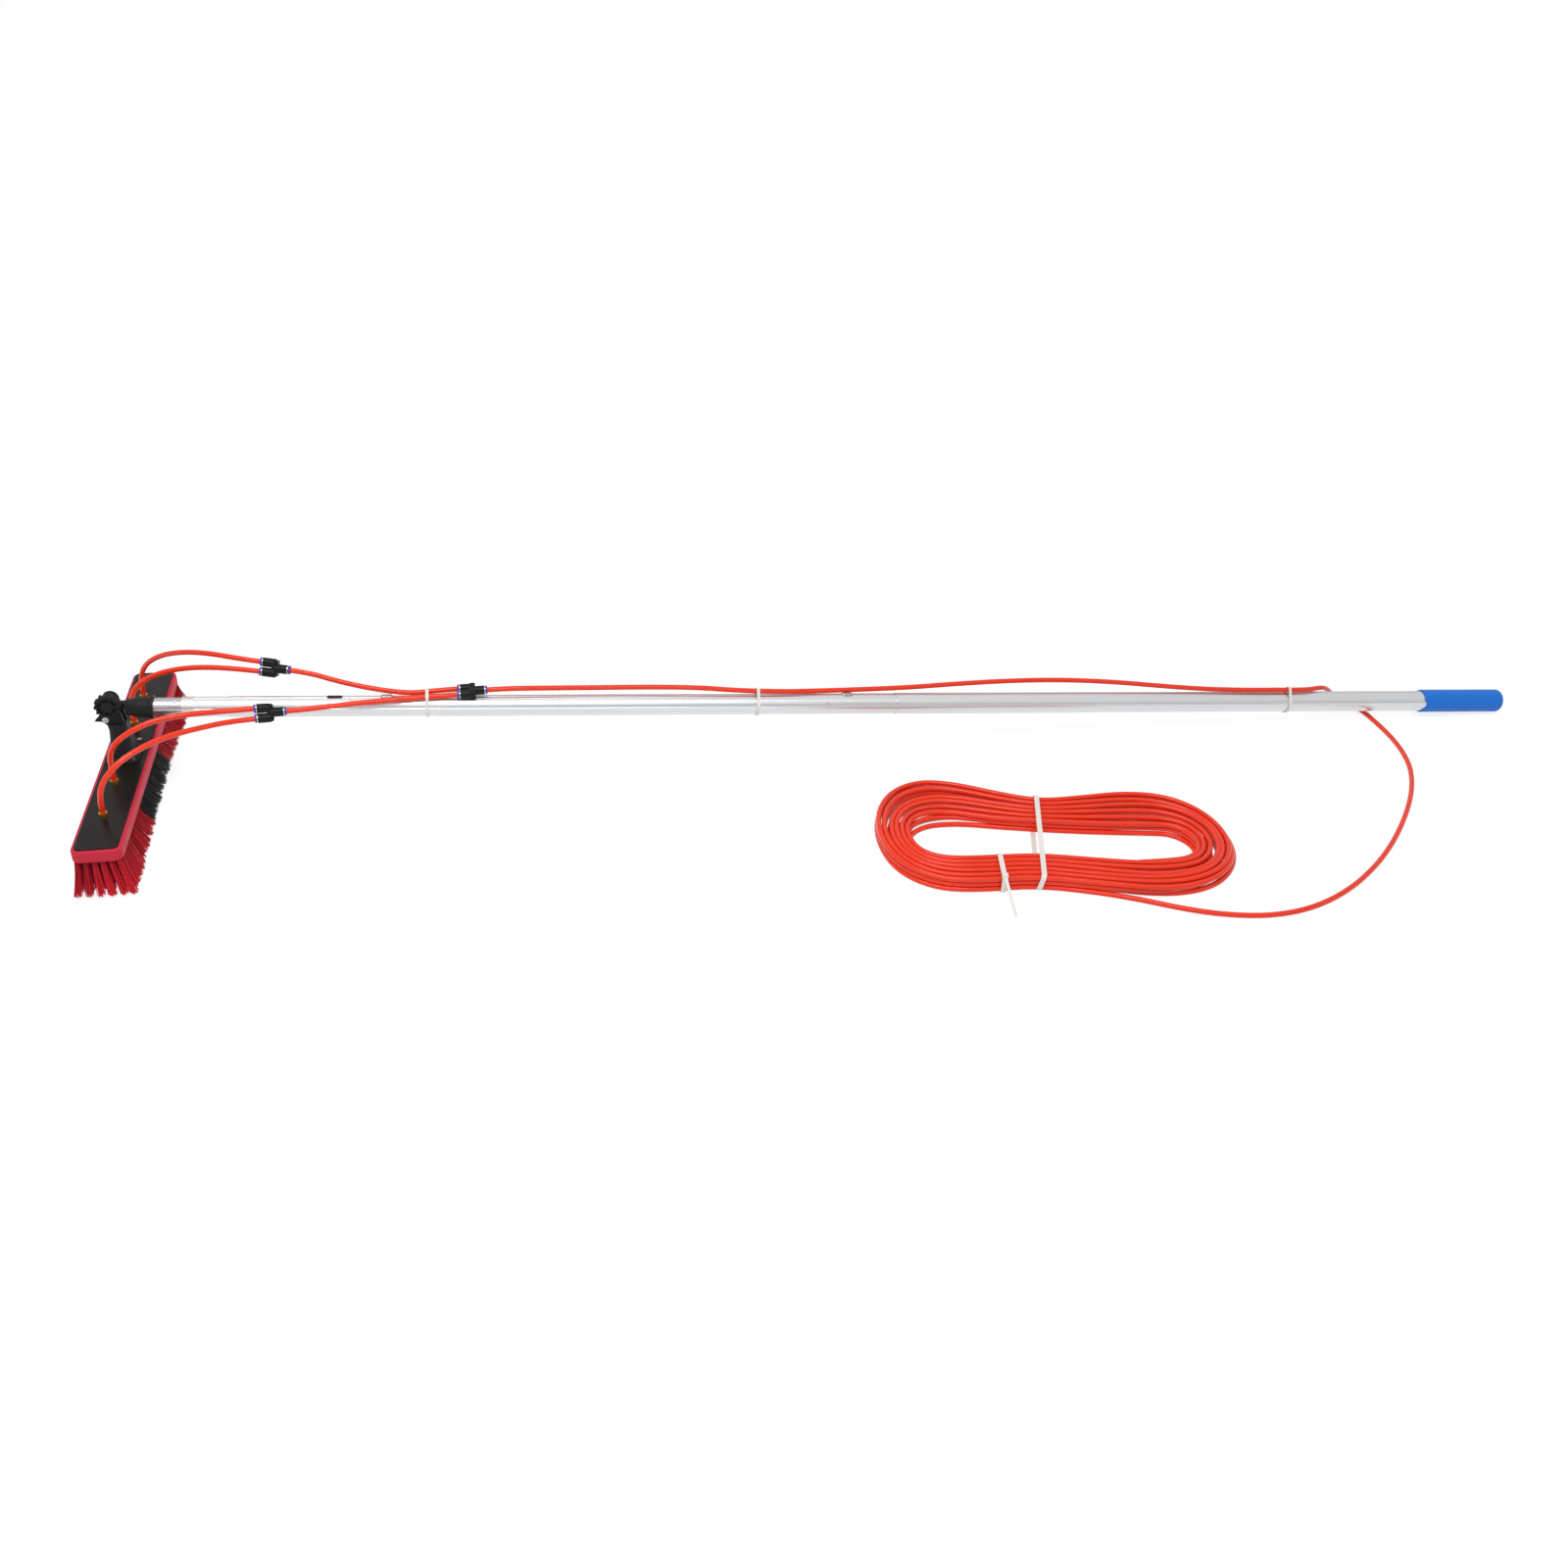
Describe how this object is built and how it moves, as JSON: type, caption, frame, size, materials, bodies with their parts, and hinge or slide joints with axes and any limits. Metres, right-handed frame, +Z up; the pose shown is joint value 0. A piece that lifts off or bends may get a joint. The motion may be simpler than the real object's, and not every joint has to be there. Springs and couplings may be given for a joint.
{
  "type": "water-fed window cleaning pole",
  "caption": "Telescopic pole with a wide tilting brush, blue grip and a red water hose that branches to barbs on the brush and runs back to a tied hank",
  "frame": {"origin": "Middle of the brush's bristle tips, on the floor the brush stands on", "axes": "+X runs along the pole from the brush to the grip, +Y runs along the brush, +Z is up"},
  "size_m": [2.2934, 0.7886, 0.19],
  "materials": {
    "brush_block": "moulded, satin",
    "brush_panel": "glossy moulded cover",
    "red_bristle": "crimped filament, flagged tips",
    "black_bristle": "crimped filament, flagged tips",
    "brass": "turned",
    "joint_plastic": "fine-grained moulding",
    "steel": "zinc plated",
    "sleeve_metal": "polished",
    "collar_metal": "crimped",
    "pole_tube": "drawn with fine lengthwise flutes",
    "button_black": "moulded",
    "grip_blue": "soft moulded with fine lengthwise ribs",
    "fitting_body": "moulded",
    "release_collar": "moulded",
    "ring_metal": "polished",
    "seal_rubber": "smooth",
    "hose": "smooth flexible tubing",
    "tie_nylon": "natural nylon"
  },
  "bodies": {
    "butt": {"tube_d": "pole_tube", "grip": "grip_blue", "butt_plug": "joint_plastic", "pole_tie_3": "tie_nylon", "lead_hose": "hose", "hose_hank": "hose", "hank_tie": "tie_nylon", "run_tie": "tie_nylon"},
    "middle": {"tube_c": "pole_tube", "snap_spring_c": "steel", "stop_rivet": "steel", "pole_tie_2": "tie_nylon", "feed_hose_lower": "hose"},
    "top": {"socket_arm": "joint_plastic", "adapter_sleeve": "sleeve_metal", "sleeve_rivet": "steel", "adapter_collar": "collar_metal", "tube_a": "pole_tube", "lock_spring": "steel", "tube_b": "pole_tube", "snap_spring_b": "steel", "rear_y_body": "fitting_body", "front_y_body": "fitting_body", "joining_y_body": "fitting_body", "port_rings": "ring_metal", "tube_seals": "seal_rubber", "branch_hose_1": "hose", "branch_hose_2": "hose", "branch_hose_3": "hose", "branch_hose_4": "hose", "link_hose_rear": "hose", "link_hose_front": "hose", "feed_hose_upper": "hose", "pole_tie_1": "tie_nylon"},
    "head": {"brush_block": "brush_block", "top_panel": "brush_panel", "red_bristles": "red_bristle", "black_bristles": "black_bristle", "hose_barbs": "brass", "spray_jets": "brass", "swivel_foot": "joint_plastic", "foot_screws": "steel", "lug_screw": "steel", "pivot_bolt": "steel", "tilt_washers": "joint_plastic"},
    "knob": {"clamp_knob": "joint_plastic", "knob_nut": "steel"},
    "lock_button": {"lock_button": "button_black"},
    "snap_button_b": {"snap_button_b": "steel"},
    "snap_button_c": {"snap_button_c": "steel"},
    "rear_y_collar_1": {"rear_y_collar_1": "release_collar"},
    "rear_y_collar_2": {"rear_y_collar_2": "release_collar"},
    "rear_y_collar_3": {"rear_y_collar_3": "release_collar"},
    "front_y_collar_1": {"front_y_collar_1": "release_collar"},
    "front_y_collar_2": {"front_y_collar_2": "release_collar"},
    "front_y_collar_3": {"front_y_collar_3": "release_collar"},
    "joining_y_collar_1": {"joining_y_collar_1": "release_collar"},
    "joining_y_collar_2": {"joining_y_collar_2": "release_collar"},
    "joining_y_collar_3": {"joining_y_collar_3": "release_collar"}
  },
  "joints": [
    {"name": "lower_slide", "type": "slide", "parent": "butt", "child": "middle", "axis": [-0.9983, 0, 0.0579], "range_m": [-0.06, 0.14], "deforming": ["feed_hose_lower"]},
    {"name": "upper_slide", "type": "slide", "parent": "middle", "child": "top", "axis": [-0.9983, 0, 0.0579], "range_m": [0, 0.45], "deforming": ["feed_hose_upper"]},
    {"name": "head_tilt", "type": "hinge", "parent": "top", "child": "head", "pos_m": [-0.00889, 0, 0.16011], "axis": [0, 1, 0], "range_deg": [-5, 180], "deforming": ["branch_hose_1", "branch_hose_2", "branch_hose_3", "branch_hose_4"]},
    {"name": "knob_turn", "type": "hinge", "parent": "head", "child": "knob", "pos_m": [-0.00889, 0, 0.16011], "axis": [0, -1, 0], "continuous": true},
    {"name": "lock_button_press", "type": "slide", "parent": "top", "child": "lock_button", "axis": [-0.0579, 0, -0.9983], "range_m": [0, 0.0022], "stiffness_N_per_m": 1500, "springref_m": -0.001, "deforming": ["lock_spring"]},
    {"name": "snap_button_b_press", "type": "slide", "parent": "top", "child": "snap_button_b", "axis": [-0.0579, 0, -0.9983], "range_m": [0, 0.0028], "stiffness_N_per_m": 1500, "springref_m": -0.001, "deforming": ["snap_spring_b"]},
    {"name": "snap_button_c_press", "type": "slide", "parent": "middle", "child": "snap_button_c", "axis": [-0.0579, 0, -0.9983], "range_m": [0, 0.0028], "stiffness_N_per_m": 1500, "springref_m": -0.001, "deforming": ["snap_spring_c"]},
    {"name": "rear_y_collar_1_press", "type": "slide", "parent": "top", "child": "rear_y_collar_1", "axis": [0.9759, -0.1952, -0.0976], "range_m": [0, 0.0012], "stiffness_N_per_m": 600, "springref_m": -0.001},
    {"name": "rear_y_collar_2_press", "type": "slide", "parent": "top", "child": "rear_y_collar_2", "axis": [0.9759, -0.1952, -0.0976], "range_m": [0, 0.0012], "stiffness_N_per_m": 600, "springref_m": -0.001},
    {"name": "rear_y_collar_3_press", "type": "slide", "parent": "top", "child": "rear_y_collar_3", "axis": [-0.9759, 0.1952, 0.0976], "range_m": [0, 0.0012], "stiffness_N_per_m": 600, "springref_m": -0.001},
    {"name": "front_y_collar_1_press", "type": "slide", "parent": "top", "child": "front_y_collar_1", "axis": [0.9924, 0.1191, -0.0298], "range_m": [0, 0.0012], "stiffness_N_per_m": 600, "springref_m": -0.001},
    {"name": "front_y_collar_2_press", "type": "slide", "parent": "top", "child": "front_y_collar_2", "axis": [0.9924, 0.1191, -0.0298], "range_m": [0, 0.0012], "stiffness_N_per_m": 600, "springref_m": -0.001},
    {"name": "front_y_collar_3_press", "type": "slide", "parent": "top", "child": "front_y_collar_3", "axis": [-0.9924, -0.1191, 0.0298], "range_m": [0, 0.0012], "stiffness_N_per_m": 600, "springref_m": -0.001},
    {"name": "joining_y_collar_1_press", "type": "slide", "parent": "top", "child": "joining_y_collar_1", "axis": [0.9998, 0, 0.02], "range_m": [0, 0.0012], "stiffness_N_per_m": 600, "springref_m": -0.001},
    {"name": "joining_y_collar_2_press", "type": "slide", "parent": "top", "child": "joining_y_collar_2", "axis": [0.9998, 0, 0.02], "range_m": [0, 0.0012], "stiffness_N_per_m": 600, "springref_m": -0.001},
    {"name": "joining_y_collar_3_press", "type": "slide", "parent": "top", "child": "joining_y_collar_3", "axis": [-0.9998, 0, -0.02], "range_m": [0, 0.0012], "stiffness_N_per_m": 600, "springref_m": -0.001}
  ]
}
